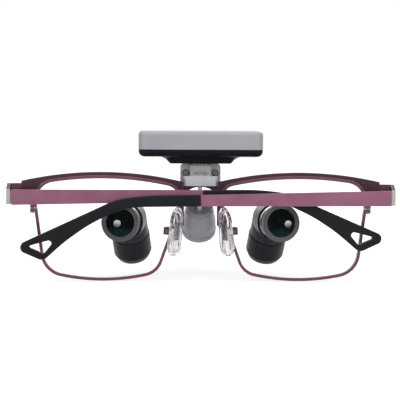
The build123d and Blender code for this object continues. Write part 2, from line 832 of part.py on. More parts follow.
def set_screw_shape(side, grow):
    """Both screws are on the wearer's left of their barrel: towards the nose on the right one only."""
    place = elbow_to_seam + set_screw_from_seam
    screw = Pos(barrel_radius - set_screw_length / 2, 0, 0) * Rot(0, 90, 0) * Cylinder(
        set_screw_radius + grow, set_screw_length + grow * 2)
    return Pos(0, 0, place) * Rot(0, 0, 90 + set_screw_turn_degrees * side) * screw


def set_screw(side):
    socket = Rot(0, 90, 0) * Cylinder(set_screw_radius / 2, set_screw_length)
    socket = Pos(barrel_radius, 0, elbow_to_seam + set_screw_from_seam) * socket
    return elbow_line() * single(set_screw_shape(side, 0) - Rot(0, 0, 90 + set_screw_turn_degrees * side) * socket)


def objective_rim():
    """How far down the second axis the objective's rim meets its retaining ring."""
    return elbow_to_seam + barrel_length - objective_from_mouth - retaining_ring_width - optic_fit


def objective_flat():
    """How far down the second axis the flat side of the objective lies."""
    return objective_rim() + objective_crown / 2 - objective_thickness


def objective_lens():
    """The objective, its crown towards the work."""
    disc = lens_disc(objective_radius, objective_thickness, objective_crown)
    disc = Pos(0, 0, objective_rim() + objective_crown / 2) * Rot(180, 0, 0) * disc
    ring_side = objective_rim() + optic_fit
    return elbow_line() * single(disc - (turned((retaining_ring_bore - optic_fit, ring_side),
                                                (barrel_radius, ring_side), (barrel_radius, ring_side + overrun),
                                                (retaining_ring_bore - optic_fit, ring_side + overrun))))


def objective_ring():
    """The ring that keeps the objective in its seat."""
    start = objective_rim() + optic_fit * 2
    ring = turned((retaining_ring_bore, start), (objective_radius, start),
                  (objective_radius, start + retaining_ring_width),
                  (retaining_ring_bore + groove_depth, start + retaining_ring_width))
    return elbow_line() * single(ring)


# Mount on the bridge

plate_rear = brow_depth / 2 + plate_from_bridge
plate_front = plate_rear + plate_thickness


def mount_screw_places(y):
    return [Pos(x, y, mount_screw_z) for x in (-mount_screw_x, mount_screw_x)]


def along_y(radius, length):
    return Rot(90, 0, 0) * Cylinder(radius, length)


def bracket_plate():
    """The upright plate in front of the bridge. Its cheeks take the screws; its tongue locates the module."""
    plate = box_between((-plate_half_width, plate_rear, plate_bottom), (plate_half_width, plate_front, plate_top))
    plate = fillet(plate.edges().filter_by(Axis.Y).group_by(Axis.Z)[-1], plate_corner_radius)
    plate += box_between((-plate_tongue_half_width, plate_rear, plate_top - overrun),
                         (plate_tongue_half_width, plate_front, plate_top + plate_tongue_height))
    for place in mount_screw_places((plate_rear + plate_front) / 2):
        plate -= place * along_y(mount_screw_radius + mount_screw_fit, plate_thickness + overrun)
    return single(plate)


def bracket_screw():
    """A socket screw from behind, through the cheek and into the lamp carrier."""
    length = plate_thickness + carrier_thickness
    shank = Pos(0, length / 2, 0) * along_y(mount_screw_radius, length)
    head = Pos(0, -mount_screw_head_height / 2, 0) * along_y(mount_screw_head_radius, mount_screw_head_height)
    head = chamfer(head.edges().group_by(Axis.Y)[0], mount_socket_depth / 2)
    socket = Pos(0, -mount_screw_head_height, 0) * Rot(90, 0, 0) * extrude(
        RegularPolygon(mount_socket_radius, 6), amount=mount_socket_depth, both=True)
    return single(shank + head - socket)


def contact_block():
    """The block that carries the module's contacts, with a slot in its rear face."""
    rear = plate_rear - block_rear
    block = box_between((-block_half_width, rear, clamp_top), (block_half_width, plate_rear, block_top))
    top_rear = block.edges().filter_by(Axis.X).group_by(Axis.Z)[-1].sort_by(Axis.Y)[0]
    block = chamfer(top_rear, block_bevel)
    slot_low = clamp_top + block_slot_rise
    block -= box_between((-block_slot_half_width, rear - overrun, slot_low),
                         (block_slot_half_width, rear + block_slot_recess, slot_low + block_slot_height))
    for place in contact_places():
        block -= place * Cylinder(contact_pin_radius + optic_fit, contact_pin_sunk * 2)
    return single(block)


def contact_places():
    first = -contact_pin_pitch * (contact_pin_count - 1) / 2
    return [Pos(first + n * contact_pin_pitch, contact_pin_y, block_top) for n in range(contact_pin_count)]


def contact_pins():
    rise = foot_bottom - block_top - weld_gap
    pins = []
    for place in contact_places():
        pin = Pos(0, 0, (rise - contact_pin_sunk) / 2) * Cylinder(contact_pin_radius, rise + contact_pin_sunk)
        pins.append(place * pin)
    return pins


def rear_clamp():
    """The hooked clamp behind the bridge: a plate with bevelled ends, and a shelf over the bridge's top."""
    front = -brow_depth / 2 - plate_from_bridge
    rear = front - clamp_thickness
    plate = box_between((-clamp_half_width, rear, clamp_bottom), (clamp_half_width, front, clamp_top))
    ends = plate.edges().filter_by(Axis.Z).group_by(Axis.Y)[0]
    plate = chamfer(ends, clamp_bevel_depth, clamp_bevel_width, reference=plate.faces().sort_by(Axis.Y)[0])
    shelf = box_between((-block_half_width, front - overrun, clamp_top - clamp_shelf_height),
                        (block_half_width, plate_rear, clamp_top))
    return single(plate + shelf)


# Lamp

def lamp_line():
    """The lamp's own frame: Z runs along its axis from the rear, down and forwards."""
    tilt = radians(lamp_tilt_degrees)
    return Plane(origin=lamp_rear_centre, x_dir=(1, 0, 0), z_dir=(0, cos(tilt), -sin(tilt)))


def pivot_place():
    """The tilt pin's centre, inside the lamp's cap and below its axis."""
    return lamp_line().from_local_coords(Vector(0, lamp_side() * pivot_low, pivot_depth))


def lamp_side():
    """Which way the lamp frame's Y points: 1 where it points down and back."""
    return 1 if lamp_line().y_dir.Z < 0 else -1


def lamp_carrier():
    """The plate behind the screws, and the narrow arm that comes down from it to the tilt pin."""
    rear = plate_front
    front = rear + carrier_thickness
    plate = box_between((-carrier_half_width, rear, carrier_bottom), (carrier_half_width, front, carrier_top))
    plate = fillet(plate.edges().filter_by(Axis.Y), plate_corner_radius)
    for place in mount_screw_places((rear + front) / 2):
        plate -= place * along_y(mount_screw_radius + mount_screw_fit, carrier_thickness + overrun)
    pivot = pivot_place()
    half = arm_width / 2
    with BuildSketch(Plane.YZ) as side:
        with BuildLine():
            Polyline((rear, carrier_bottom + half), (rear, carrier_bottom), (pivot.Y - half, pivot.Z),
                     (pivot.Y + half, pivot.Z), (front + half, carrier_bottom + arm_width),
                     (front, carrier_bottom + arm_width), close=True)
        make_face()
    arm = extrude(side.sketch, amount=arm_half_width, both=True)
    knob = Pos(*pivot) * Rot(0, 90, 0) * Cylinder(pivot_radius, arm_half_width * 2)
    bore = Pos(*pivot) * Rot(0, 90, 0) * Cylinder(pivot_pin_radius + pivot_pin_fit, front_span)
    return single(plate + arm + knob - bore)


def lamp_pin():
    """The plain pin pressed across the cap, through the arm's knob."""
    return Pos(*pivot_place()) * Rot(0, 90, 0) * Cylinder(pivot_pin_radius, pivot_pin_half_length * 2)


def lamp_cap():
    """The lamp's rear cap: a plug with a coned edge, slotted for the arm and drilled across for its pin."""
    inner = lamp_shoulder_radius - lamp_wall - lamp_fit
    cap = turned((0, 0), (lamp_cap_rear_radius, 0), (lamp_shoulder_radius, lamp_cap_length),
                 (inner, lamp_cap_length), (inner, lamp_cap_length + lamp_wall), (0, lamp_cap_length + lamp_wall))
    half = arm_half_width + slot_gap
    down = lamp_side()
    ends = sorted((down * (pivot_low - slot_above), down * (pivot_low + slot_below)))
    cap -= box_between((-half, ends[0], -overrun), (half, ends[1], pivot_depth + pivot_radius + slot_gap))
    cap -= Pos(0, down * pivot_low, pivot_depth) * Rot(0, 90, 0) * Cylinder(
        pivot_pin_radius + pivot_pin_fit, front_span)
    return lamp_line() * single(cap)


def lamp_housing():
    """The lamp's tube, flaring from the cap, with the slug that takes heat from the LED's board."""
    start = lamp_cap_length + weld_gap
    end = lamp_length - lamp_bezel_length - weld_gap
    inner = lamp_radius - lamp_wall
    rear_inner = lamp_shoulder_radius - lamp_wall
    slug = lamp_cap_length + lamp_wall + lamp_fit
    tube = turned((rear_inner, start), (lamp_shoulder_radius, start),
                  (lamp_radius, lamp_cap_length + lamp_flare_length), (lamp_radius, end), (inner, end),
                  (inner, slug + lamp_slug_length), (0, slug + lamp_slug_length), (0, slug), (rear_inner, slug))
    return lamp_line() * single(tube)


def lamp_led():
    """The LED on its round board, seated on the slug."""
    base = lamp_cap_length + lamp_wall + lamp_fit + lamp_slug_length + weld_gap
    board = Pos(0, 0, base + lamp_board_thickness / 2) * Cylinder(
        lamp_radius - lamp_wall - lamp_fit, lamp_board_thickness)
    chip = Pos(0, 0, base + lamp_board_thickness + lamp_led_height / 2) * Box(
        lamp_led_side, lamp_led_side, lamp_led_height)
    return lamp_line() * single(board + chip)


def lamp_lens():
    """The collimating lens, seated in the bezel, its crown forwards."""
    inner = lamp_radius - lamp_wall - lamp_fit
    disc = lens_disc(inner, lamp_lens_thickness, lamp_lens_crown)
    front = lamp_length - lamp_wall - lamp_fit
    lens = Pos(0, 0, front) * Rot(180, 0, 0) * disc
    return lamp_line() * single(lens)


def lamp_bezel():
    """The ring that closes the lamp's mouth."""
    start = lamp_length - lamp_bezel_length
    inner = lamp_radius - lamp_wall
    outer = lamp_radius + lamp_bezel_step
    ring = turned((inner, start), (outer, start), (outer, lamp_length - lamp_wall / 2),
                  (outer - lamp_wall / 2, lamp_length), (lamp_window_radius, lamp_length),
                  (lamp_window_radius, lamp_length - lamp_wall), (inner, lamp_length - lamp_wall))
    return lamp_line() * single(ring)


# Battery module

module_middle_y = module_rear + module_depth / 2


def rounded_plan(width, depth, radius, middle_y, z):
    return Plane(origin=(0, middle_y, z)) * RectangleRounded(width, depth, radius)


def module_prism(inset, low, high):
    """The module's plan, drawn in by inset, between two heights."""
    plan = rounded_plan(module_width - inset * 2, module_depth - inset * 2, module_corner_radius - inset,
                        module_middle_y, low)
    return extrude(plan, amount=high - low)


def module_cover():
    """The aluminium cover: a rounded shell, open below."""
    shell = module_prism(0, module_seam, module_top)
    shell = fillet(shell.edges().group_by(Axis.Z)[-1], cover_top_radius)
    return single(shell - module_prism(cover_wall, module_seam - overrun, module_top - cover_wall) - port_hole())


def foot():
    """The flared foot under the tray, lofted through rounded plans that follow an arc."""
    drop = module_floor - foot_bottom
    bend = (foot_flare**2 + drop**2) / (2 * drop)
    plans = []
    for step in range(foot_steps):
        out = foot_flare * (1 - step / (foot_steps - 1))
        run = foot_flare - out
        z = module_floor - bend + sqrt(bend**2 - run**2)
        back = out * foot_depth_flare / foot_flare
        plans.append(rounded_plan((foot_half_width + out) * 2, (foot_half_depth + back) * 2,
                                  foot_corner_radius + back, module_middle_y, z))
    return loft(plans, ruled=True)


def module_tray():
    """The moulded tray: floor, walls, the flared foot and the slot for the plate's tongue."""
    high = module_seam - shell_seam
    tray = module_prism(0, module_floor, high)
    tray = fillet(tray.edges().group_by(Axis.Z)[0], tray_edge_radius)
    tray += foot()
    tray -= module_prism(tray_wall, module_floor + tray_wall, high + overrun)
    tongue_top = plate_top + plate_tongue_height + foot_slot_fit
    tray -= box_between((-plate_tongue_half_width - foot_slot_fit, plate_rear - foot_slot_fit, foot_bottom - overrun),
                        (plate_tongue_half_width + foot_slot_fit, plate_front + foot_slot_fit, tongue_top))
    for place in magnet_places():
        tray -= place * Cylinder(magnet_radius + optic_fit, magnet_height + optic_fit * 2)
    return single(tray - port_hole())


def magnet_places():
    z = module_floor + tray_wall - magnet_height / 2 - optic_fit
    return [Pos(x, module_middle_y, z) for x in (-magnet_x, magnet_x)]


def module_magnets():
    return [place * Cylinder(magnet_radius, magnet_height) for place in magnet_places()]


def board_bottom():
    return module_floor + tray_wall + board_lift


def port_hole():
    """The opening for the charging socket, through the front walls of the tray and the cover."""
    wall_y = module_rear + module_depth
    half = port_width / 2 + port_fit
    return box_between((-half, wall_y - tray_wall - overrun, board_bottom() - port_fit),
                       (half, wall_y + overrun, board_bottom() + port_height + port_fit))


def module_board():
    """The control board on the tray's floor, with the charging socket at its front edge."""
    low = board_bottom()
    board = box_between((-board_width / 2, module_middle_y - board_depth / 2, low),
                        (board_width / 2, module_middle_y + board_depth / 2, low + board_thickness))
    front = module_rear + module_depth - port_fit
    port = box_between((-port_width / 2, front - port_depth, low), (port_width / 2, front, low + port_height))
    port = fillet(port.edges().filter_by(Axis.Y), port_height / 3)
    mouth = box_between((-port_width / 2 + port_fit * 3, front - port_depth / 2, low + port_fit * 3),
                        (port_width / 2 - port_fit * 3, front + overrun, low + port_height - port_fit * 3))
    return single(board + port - mouth)


def module_cell():
    """The rechargeable cell, between the board's socket and the cover."""
    low = module_top - cover_wall - board_lift - cell_height
    plan = rounded_plan(cell_width, cell_depth, cell_corner_radius, module_middle_y - port_depth / 2, low)
    return extrude(plan, amount=cell_height)


# Build and save every piece

os.makedirs("parts", exist_ok=True)

save_pair(rim(), "rim")
save_pair(carrier_lens(), "carrier_lens")
save_pair(brow_bar(), "brow_bar")
save(bridge(), "bridge")
save_pair(end_piece(), "end_piece")
save_group([closing_screw(), other_side(closing_screw())], "closing_screws")

save_pair(front_leaf(), "front_leaf")
save_group([hinge_screw(), other_side(hinge_screw())], "hinge_screws")
for side, name in ((1, "right"), (-1, "left")):
    save(fold(temple_strip(), side), "temple_" + name)
    save(fold(temple_tip(), side), "temple_tip_" + name)
    save(fold(temple_leaf(), side), "temple_leaf_" + name)

save_pair(pad_arm(), "pad_arm")
save_pair(nose_pad(), "nose_pad")
save_pair(pad_core(), "pad_core")
save_group([pad_screw(), other_side(pad_screw())], "pad_screws")

save_pair(eyepiece_ring(), "eyepiece_ring")
save_pair(eyepiece_lens(), "eyepiece_lens")
save_pair(ocular_tube(), "ocular_tube")
save_pair(prism_housing(), "prism_housing")
save_pair(prism(), "prism")
save(objective_barrel(1), "objective_barrel_right")
save(other_side(objective_barrel(-1)), "objective_barrel_left")
save_pair(objective_lens(), "objective_lens")
save_pair(objective_ring(), "objective_ring")
save_group([set_screw(1), other_side(set_screw(-1))], "barrel_set_screws")

save(bracket_plate(), "bracket_plate")
save_group([place * bracket_screw() for place in mount_screw_places(plate_rear)], "bracket_screws")
save(contact_block(), "contact_block")
save_group(contact_pins(), "contact_pins")
save(rear_clamp(), "rear_clamp")

save(lamp_carrier(), "lamp_carrier")
save(lamp_pin(), "lamp_pin")
save(lamp_cap(), "lamp_cap")
save(lamp_housing(), "lamp_housing")
save(lamp_led(), "lamp_led")
save(lamp_lens(), "lamp_lens")
save(lamp_bezel(), "lamp_bezel")

save(module_cover(), "module_cover")
save(module_tray(), "module_tray")
save_group(module_magnets(), "module_magnets")
save(module_board(), "module_board")
save(module_cell(), "module_cell")
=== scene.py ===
from math import cos, radians, sin

import bmesh
import bpy
from mathutils import Matrix, Vector


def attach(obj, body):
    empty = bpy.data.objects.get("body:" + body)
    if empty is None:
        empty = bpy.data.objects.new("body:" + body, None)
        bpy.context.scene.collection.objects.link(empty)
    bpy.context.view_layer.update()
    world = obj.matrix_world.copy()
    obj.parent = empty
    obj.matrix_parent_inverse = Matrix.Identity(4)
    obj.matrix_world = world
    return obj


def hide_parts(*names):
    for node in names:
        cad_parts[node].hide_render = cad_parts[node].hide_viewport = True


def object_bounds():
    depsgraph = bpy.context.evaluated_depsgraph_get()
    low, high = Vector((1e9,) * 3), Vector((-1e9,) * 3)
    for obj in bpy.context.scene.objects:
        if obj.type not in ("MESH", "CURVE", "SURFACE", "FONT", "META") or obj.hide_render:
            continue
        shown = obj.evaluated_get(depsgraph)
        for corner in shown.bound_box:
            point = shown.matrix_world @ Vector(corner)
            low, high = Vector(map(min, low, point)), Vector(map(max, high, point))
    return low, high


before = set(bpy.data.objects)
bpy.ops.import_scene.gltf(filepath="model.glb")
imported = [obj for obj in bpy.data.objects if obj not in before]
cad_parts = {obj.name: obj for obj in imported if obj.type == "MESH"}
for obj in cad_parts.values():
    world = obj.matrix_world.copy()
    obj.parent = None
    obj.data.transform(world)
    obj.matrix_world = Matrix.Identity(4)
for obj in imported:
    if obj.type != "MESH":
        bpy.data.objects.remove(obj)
cad_low, cad_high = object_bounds()


# The photographer's stand. The loupes are seen from the wearer's side, a little from above and from the
# left of straight behind, through a long lens. They rest on their rims on white card in a light tent.
camera_azimuth = radians(1.72)
camera_elevation = radians(3.26)
camera_roll = radians(0.32)
camera_distance = 0.650
camera_aim = Vector((-0.00013, 0.0, 0.01006))
photo_side = 400
photo_focal = 1741.0
film_side = 36.0

forward = Vector((sin(camera_azimuth) * cos(camera_elevation), cos(camera_azimuth) * cos(camera_elevation),
                  -sin(camera_elevation)))
level_right = Vector((cos(camera_azimuth), -sin(camera_azimuth), 0.0))
level_up = level_right.cross(forward)
rolled_right = level_right * cos(camera_roll) + level_up * sin(camera_roll)
rolled_up = level_up * cos(camera_roll) - level_right * sin(camera_roll)
camera_data = bpy.data.cameras.new("stand_camera")
camera_data.sensor_width = film_side
camera_data.lens = photo_focal / photo_side * film_side
camera_data.clip_start = 0.01
camera_data.clip_end = 20.0
camera = bpy.data.objects.new("stand_camera", camera_data)
bpy.context.scene.collection.objects.link(camera)
turn = Matrix((rolled_right, rolled_up, -forward)).transposed()
camera.matrix_world = Matrix.Translation(camera_aim - forward * camera_distance) @ turn.to_4x4()
bpy.context.scene.camera = camera
bpy.context.scene.view_settings.view_transform = "Standard"


def seen_directly(tree):
    """1 where a ray comes from the camera, a gloss or clear glass, and 0 where it only lights a surface."""
    path = tree.nodes.new("ShaderNodeLightPath")
    either = tree.nodes.new("ShaderNodeMath")
    either.operation = "MAXIMUM"
    tree.links.new(path.outputs["Is Camera Ray"], either.inputs[0])
    tree.links.new(path.outputs["Is Glossy Ray"], either.inputs[1])
    any_of = tree.nodes.new("ShaderNodeMath")
    any_of.operation = "MAXIMUM"
    tree.links.new(either.outputs[0], any_of.inputs[0])
    tree.links.new(path.outputs["Is Transmission Ray"], any_of.inputs[1])
    return any_of.outputs[0]


tent = bpy.data.worlds.new("light_tent")
bpy.context.scene.world = tent
tent.use_nodes = True
tree = tent.node_tree
tent_light = tree.nodes["Background"]
tent_light.inputs["Color"].default_value = (0.96, 0.97, 1.0, 1.0)
tent_light.inputs["Strength"].default_value = 0.24
tent_white = tree.nodes.new("ShaderNodeBackground")
tent_white.inputs["Color"].default_value = (1.0, 1.0, 1.0, 1.0)
tent_white.inputs["Strength"].default_value = 1.0
tent_mix = tree.nodes.new("ShaderNodeMixShader")
tree.links.new(seen_directly(tree), tent_mix.inputs["Fac"])
tree.links.new(tent_light.outputs[0], tent_mix.inputs[1])
tree.links.new(tent_white.outputs[0], tent_mix.inputs[2])
tree.links.new(tent_mix.outputs[0], tree.nodes["World Output"].inputs["Surface"])


def softbox(name, place, width, height, power):
    """A rectangular lamp at a place, turned to face the loupes."""
    data = bpy.data.lights.new(name, "AREA")
    data.shape = "RECTANGLE"
    data.size = width
    data.size_y = height
    data.energy = power
    lamp = bpy.data.objects.new(name, data)
    lamp.location = place
    lamp.rotation_euler = (-Vector(place)).to_track_quat("-Z", "Y").to_euler()
    bpy.context.scene.collection.objects.link(lamp)


softbox("softbox_above", place=(0.0, -0.25, 0.55), width=0.7, height=0.45, power=1.7)
softbox("softbox_front_left", place=(-0.5, -0.55, 0.18), width=0.35, height=0.45, power=1.3)
softbox("softbox_front_right", place=(0.5, -0.55, 0.18), width=0.35, height=0.45, power=1.5)
softbox("softbox_behind", place=(0.0, 0.65, 0.35), width=0.6, height=0.4, power=0.8)


def spread(tree, factor, low, high, start=0.3, end=0.7):
    """A number that runs from low to high while the factor runs from start to end."""
    node = tree.nodes.new("ShaderNodeMapRange")
    node.inputs["From Min"].default_value = start
    node.inputs["From Max"].default_value = end
    node.inputs["To Min"].default_value = low
    node.inputs["To Max"].default_value = high
    tree.links.new(factor, node.inputs["Value"])
    return node.outputs["Result"]


card_drop = 0.0002
card_half = 1.2
shadow_reach = 0.10
shadow_glow = 0.76
card_fade = 0.34
card = bmesh.new()
bmesh.ops.create_grid(card, x_segments=1, y_segments=1, size=card_half,
                      matrix=Matrix.Translation((0.0, 0.0, cad_low.z - card_drop)))
card_mesh = bpy.data.meshes.new("white_card")
card.to_mesh(card_mesh)
card.free()
white_card = bpy.data.objects.new("white_card", card_mesh)
bpy.context.scene.collection.objects.link(white_card)
card_material = bpy.data.materials.new("card_white")
card_material.use_nodes = True
tree = card_material.node_tree
card_paint = tree.nodes["Principled BSDF"]
card_paint.inputs["Base Color"].default_value = (0.5, 0.5, 0.5, 1.0)
card_paint.inputs["Roughness"].default_value = 1.0
card_paint.inputs["Specular IOR Level"].default_value = 0.0
card_distance = tree.nodes.new("ShaderNodeVectorMath")
card_distance.operation = "LENGTH"
tree.links.new(tree.nodes.new("ShaderNodeTexCoord").outputs["Object"], card_distance.inputs[0])
card_share = tree.nodes.new("ShaderNodeMath")
card_share.operation = "MULTIPLY"
tree.links.new(seen_directly(tree), card_share.inputs[0])
tree.links.new(spread(tree, card_distance.outputs["Value"], shadow_glow, 1.0, shadow_reach, card_fade),
               card_share.inputs[1])
card_glow = tree.nodes.new("ShaderNodeEmission")
tree.links.new(card_share.outputs[0], card_glow.inputs["Strength"])
card_sum = tree.nodes.new("ShaderNodeAddShader")
tree.links.new(card_paint.outputs[0], card_sum.inputs[0])
tree.links.new(card_glow.outputs[0], card_sum.inputs[1])
tree.links.new(card_sum.outputs[0], tree.nodes["Material Output"].inputs["Surface"])
card_mesh.materials.append(card_material)


# Rim wires: grooved metal wire bent round each lens and closed on the temple side. They are coated a dark
# satin plum, as the brow bars and the bridge are, and their edges are painted paler, partly as wear and
# partly as a painted highlight.
def new_finish(name, metallic, roughness, gloss=0.5):
    """A material, its tree, its Principled shader and the Object coordinates that its patterns read."""
    material = bpy.data.materials.new(name)
    material.use_nodes = True
    shader = material.node_tree.nodes["Principled BSDF"]
    shader.inputs["Metallic"].default_value = metallic
    shader.inputs["Roughness"].default_value = roughness
    shader.inputs["Specular IOR Level"].default_value = gloss
    coords = material.node_tree.nodes.new("ShaderNodeTexCoord").outputs["Object"]
    return material, material.node_tree, shader, coords


def tint(red, green, blue):
    """A colour given as it is seen on a screen, from 0 to 255, for a shader."""
    shares = [c / 255 for c in (red, green, blue)]
    return tuple(c / 12.92 if c <= 0.04045 else ((c + 0.055) / 1.055) ** 2.4 for c in shares) + (1.0,)


def grain(tree, coords, cells, stretch=(1.0, 1.0, 1.0), detail=3.0):
    """Noise with that many cells to the metre, drawn out along an axis where its stretch is under 1."""
    mapping = tree.nodes.new("ShaderNodeMapping")
    mapping.inputs["Scale"].default_value = stretch
    noise = tree.nodes.new("ShaderNodeTexNoise")
    noise.inputs["Scale"].default_value = cells
    noise.inputs["Detail"].default_value = detail
    tree.links.new(coords, mapping.inputs["Vector"])
    tree.links.new(mapping.outputs["Vector"], noise.inputs["Vector"])
    return noise.outputs[0]


def shade(tree, factor, dark, light):
    """A colour that runs from dark to light with a factor from 0 to 1."""
    node = tree.nodes.new("ShaderNodeMix")
    node.data_type = "RGBA"
    inputs = {s.identifier: s for s in node.inputs}
    outputs = {s.identifier: s for s in node.outputs}
    tree.links.new(factor, inputs["Factor_Float"])
    for socket, colour in (("A_Color", dark), ("B_Color", light)):
        if isinstance(colour, tuple):
            inputs[socket].default_value = colour
        else:
            tree.links.new(colour, inputs[socket])
    return outputs["Result_Color"]


def relief(tree, shader, factor, depth):
    """Turns a pattern into fine relief of that depth, in metres."""
    bump = tree.nodes.new("ShaderNodeBump")
    bump.inputs["Distance"].default_value = depth
    bump.inputs["Strength"].default_value = 1.0
    tree.links.new(factor, bump.inputs["Height"])
    tree.links.new(bump.outputs["Normal"], shader.inputs["Normal"])


def edges_of(tree, width):
    """1 on a piece's edges, where the rounded normal leaves the true one, and 0 on its faces."""
    edge_cosine = 0.86
    face_cosine = 0.995
    bevel = tree.nodes.new("ShaderNodeBevel")
    bevel.samples = 4
    bevel.inputs["Radius"].default_value = width
    geometry = tree.nodes.new("ShaderNodeNewGeometry")
    dot = tree.nodes.new("ShaderNodeVectorMath")
    dot.operation = "DOT_PRODUCT"
    tree.links.new(bevel.outputs["Normal"], dot.inputs[0])
    tree.links.new(geometry.outputs["Normal"], dot.inputs[1])
    return spread(tree, dot.outputs["Value"], 1.0, 0.0, edge_cosine, face_cosine)


def pale_edges(tree, tone, pale, width, share):
    """A tone that turns paler on the piece's edges, by that share at most: partly wear, partly a painted
    highlight.
    """
    return shade(tree, spread(tree, edges_of(tree, width), 0.0, share, 0.0, 1.0), tone, pale)


coat_gloss = 0.3
coat_cells = 5200.0
coat_detail = 5.0
coat_patches = 130.0
coat_flecks = 0.09
coat_edge = 0.00016
coat_smoother = 0.05
coat_rougher = 0.06
coat_relief = 0.000003


def plum_coat(name, dark, light, worn_and_highlight, metallic, roughness, stretch, rub_and_highlight):
    """Coated metal: a fine drawn grain, a slow change of tone, and edges painted lighter, partly as wear
    and partly as a painted highlight.
    """
    material, tree, shader, coords = new_finish(name, metallic, roughness, coat_gloss)
    fine = grain(tree, coords, coat_cells, stretch, coat_detail)
    slow = grain(tree, coords, coat_patches)
    body = shade(tree, spread(tree, slow, 0.0, 1.0), dark, light)
    flecked = shade(tree, spread(tree, fine, 0.0, coat_flecks), body, worn_and_highlight)
    tree.links.new(pale_edges(tree, flecked, worn_and_highlight, coat_edge, rub_and_highlight), shader.inputs["Base Color"])
    tree.links.new(spread(tree, fine, roughness - coat_smoother, roughness + coat_rougher),
                   shader.inputs["Roughness"])
    relief(tree, shader, fine, coat_relief)
    return material


def finish_nodes(material, *names):
    """Gives these pieces their material."""
    for name in names:
        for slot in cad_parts[name].material_slots:
            slot.material = material


rim_plum = plum_coat("rim_plum", dark=tint(102, 58, 78), light=tint(116, 70, 90), worn_and_highlight=tint(206, 172, 188),
                     metallic=0.4, roughness=0.32, stretch=(1.0, 1.0, 1.0), rub_and_highlight=0.7)
finish_nodes(rim_plum, "rim_left", "rim_right")


# Brow bars and bridge: sheet stampings soldered along the tops of the rims. The bridge is an arched plate
# welded between the two bars. Their plum is painted darker than the rims', a shaded copy of the same coat:
# painted shade.
front_plum_painted_shade = plum_coat("front_plum_painted_shade", dark=tint(52, 28, 40), light=tint(64, 36, 50),
                       worn_and_highlight=tint(176, 136, 156), metallic=0.5, roughness=0.34, stretch=(1.0, 1.0, 1.0),
                       rub_and_highlight=0.6)
finish_nodes(front_plum_painted_shade, "brow_bar_left", "brow_bar_right", "bridge")


# End pieces: a strip bent back from each brow bar to the hinge. The coat covers its faces, and its
# cut end by the hinge is bare metal that shows pale from behind.
def place_on(tree, coords, axis):
    """Where a point is along the X, Y or Z axis, in metres."""
    split = tree.nodes.new("ShaderNodeSeparateXYZ")
    tree.links.new(coords, split.inputs["Vector"])
    return split.outputs[axis]


cut_end_y = -0.01398
cut_end_blend = 0.00006

end_plum, tree, shader, coords = new_finish("end_piece_plum_and_cut_metal", metallic=0.6, roughness=0.34)
cut_end = spread(tree, place_on(tree, coords, "Y"), 1.0, 0.0, cut_end_y, cut_end_y + cut_end_blend)
fine = grain(tree, coords, coat_cells, detail=coat_detail)
coat = shade(tree, spread(tree, fine, 0.0, 1.0), tint(76, 44, 60), tint(90, 56, 72))
sawn = shade(tree, spread(tree, fine, 0.0, 1.0), tint(150, 148, 146), tint(206, 205, 200))
# The coat's edges are painted paler, partly wear and partly a painted highlight.
rubbed_and_highlit = pale_edges(tree, coat, tint(176, 130, 150), width=0.0002, share=0.6)
tree.links.new(shade(tree, cut_end, rubbed_and_highlit, sawn), shader.inputs["Base Color"])
tree.links.new(spread(tree, fine, low=0.28, high=0.42), shader.inputs["Roughness"])
relief(tree, shader, fine, depth=0.000008)
finish_nodes(end_plum, "end_piece_left", "end_piece_right")


# Closing screws: turned steel screws that draw the two halves of each rim's block together.
# They are driven from below, and their slots are bright from the driver.
def grained(name, metallic, roughness, dark, light, cells, stretch=(1.0, 1.0, 1.0), detail=4.0,
            gloss=0.5, rough=None, depth=None, pale=None, width=0.0, share=0.0):
    """A finish whose one fine grain sets its tone and, if given, its range of roughness and its relief.

    Its edges turn to the pale colour, if that is given, within the width and by the share: partly wear,
    partly a painted highlight.
    """
    material, tree, shader, coords = new_finish(name, metallic, roughness, gloss)
    fine = grain(tree, coords, cells, stretch, detail)
    tone = shade(tree, spread(tree, fine, 0.0, 1.0), dark, light)
    if pale:
        tone = pale_edges(tree, tone, pale, width, share)
    tree.links.new(tone, shader.inputs["Base Color"])
    if rough:
        tree.links.new(spread(tree, fine, *rough), shader.inputs["Roughness"])
    if depth:
        relief(tree, shader, fine, depth)
    return material


steel = grained("turned_steel", metallic=1.0, roughness=0.3, dark=tint(120, 118, 118),
                light=tint(188, 186, 184), cells=6500.0, stretch=(1.0, 1.0, 0.15), rough=(0.22, 0.4),
                depth=0.000005)
finish_nodes(steel, "closing_screws")


# Carrier lenses: clear plastic lenses with an antireflection coat, bevelled into the rims' grooves.
# Each is bored for its telescope, which is bonded in the bore.
lens_clear, tree, shader, coords = new_finish("lens_clear", metallic=0.0, roughness=0.0, gloss=0.05)
shader.inputs["Base Color"].default_value = (0.985, 0.99, 0.99, 1.0)
shader.inputs["IOR"].default_value = 1.5
shader.inputs["Transmission Weight"].default_value = 1.0
shader.inputs["Specular Tint"].default_value = (0.0, 0.0, 0.0, 1.0)
smudge = grain(tree, coords, cells=60.0, stretch=(1.0, 1.0, 0.6), detail=2.0)
tree.links.new(spread(tree, smudge, low=0.0, high=0.035, start=0.45, end=0.75), shader.inputs["Roughness"])
finish_nodes(lens_clear, "carrier_lens_left", "carrier_lens_right")


# Hinges: a three-knuckle hinge on each side, its leaves soldered to the strip's inner face and to the
# temple. The metal is plain and darkened, and the screw that joins them is bright steel.
# The hinge's pale edges are partly wear and partly a painted highlight, for the glints on the knuckles.
hinge_metal = grained("hinge_metal", metallic=0.9, roughness=0.34, dark=tint(92, 84, 86),
                      light=tint(128, 120, 120), cells=4200.0, stretch=(1.0, 1.0, 0.25), rough=(0.26, 0.44),
                      depth=0.000006, pale=tint(226, 222, 218), width=0.00015, share=0.8)
finish_nodes(hinge_metal, "front_leaf_left", "front_leaf_right", "temple_leaf_left", "temple_leaf_right")
finish_nodes(steel, "hinge_screws")


